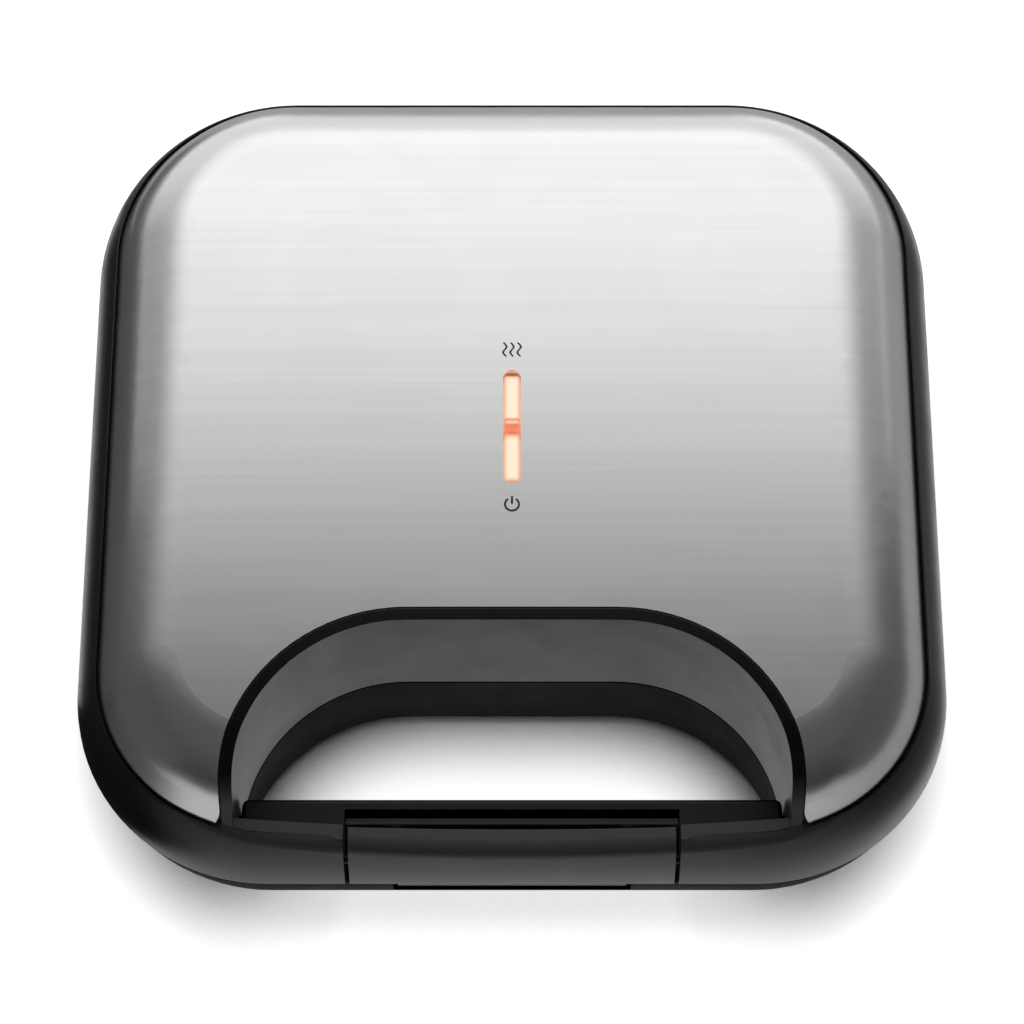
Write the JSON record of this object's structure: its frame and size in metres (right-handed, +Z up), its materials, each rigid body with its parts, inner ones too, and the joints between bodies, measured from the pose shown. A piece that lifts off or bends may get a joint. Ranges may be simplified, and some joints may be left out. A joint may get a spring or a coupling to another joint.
{
  "type": "sandwich maker",
  "caption": "Electric sandwich maker: hinged lid with a brushed steel cover, cooking plates with triangular pockets, latch in the front handle and stacked indicator lamps.",
  "frame": {"origin": "centre of the bounding box on the plane that the feet stand on", "axes": "+X to the right seen from the handle, +Y to the rear where the hinge is, +Z up"},
  "size_m": [0.231, 0.2325, 0.0806],
  "materials": {
    "rubber": "matt moulded rubber",
    "nonstick": "die-cast aluminium with a dark nonstick coating",
    "element_sheath": "oxidised tubular element",
    "bright_sheet": "bright aluminised sheet",
    "fastener_steel": "plated steel",
    "brushed_steel": "stainless sheet brushed across",
    "lens": "tinted clear plastic",
    "lamp_glass": "clear bulb of a neon lamp",
    "pale_moulding": "pale heat-resistant moulding",
    "fuse_metal": "can of a thermal fuse",
    "wire_sleeve": "heat-resistant sleeve",
    "upper_grip": "satin moulded plastic",
    "latch": "satin moulded plastic",
    "gland": "flexible moulded bush",
    "frame_plastic": "satin moulded plastic",
    "housing_plastic": "satin moulded plastic with a fine grain"
  },
  "bodies": {
    "base": {"base_loom": "wire_sleeve", "base_wiring": "wire_sleeve", "cord_gland": "gland", "foot_front_left": "rubber", "foot_front_right": "rubber", "foot_rear_left": "rubber", "foot_rear_right": "rubber", "hinge_pin_left": "fastener_steel", "hinge_pin_right": "fastener_steel", "lower_cooking_plate": "nonstick", "lower_element_clips": "bright_sheet", "lower_frame": "frame_plastic", "lower_frame_screws": "fastener_steel", "lower_heating_element": "element_sheath", "lower_housing": "housing_plastic", "lower_plate_screws": "fastener_steel", "lower_reflector": "bright_sheet", "terminal_block": "pale_moulding"},
    "lid": {"grip_screws": "fastener_steel", "lamp_holder": "pale_moulding", "lamp_screws": "fastener_steel", "latch_pin": "fastener_steel", "lid_loom": "wire_sleeve", "lid_wiring": "wire_sleeve", "power_lamp": "lamp_glass", "power_lens": "lens", "ready_lamp": "lamp_glass", "ready_lens": "lens", "steel_cover": "brushed_steel", "thermal_fuse": "fuse_metal", "thermostat": "pale_moulding", "upper_cooking_plate": "nonstick", "upper_element_clips": "bright_sheet", "upper_frame": "frame_plastic", "upper_frame_screws": "fastener_steel", "upper_grip": "upper_grip", "upper_heating_element": "element_sheath", "upper_housing": "housing_plastic", "upper_plate_screws": "fastener_steel", "upper_reflector": "bright_sheet"},
    "latch": {"latch": "latch"}
  },
  "joints": [
    {"name": "lid_hinge", "type": "hinge", "parent": "base", "child": "lid", "pos_m": [0, 0.11075, 0.035], "axis": [-1, 0, 0], "range_deg": [0, 105]},
    {"name": "latch_pivot", "type": "hinge", "parent": "lid", "child": "latch", "pos_m": [0, -0.11185, 0.0475], "axis": [-1, 0, 0], "range_deg": [-6, 25]}
  ]
}
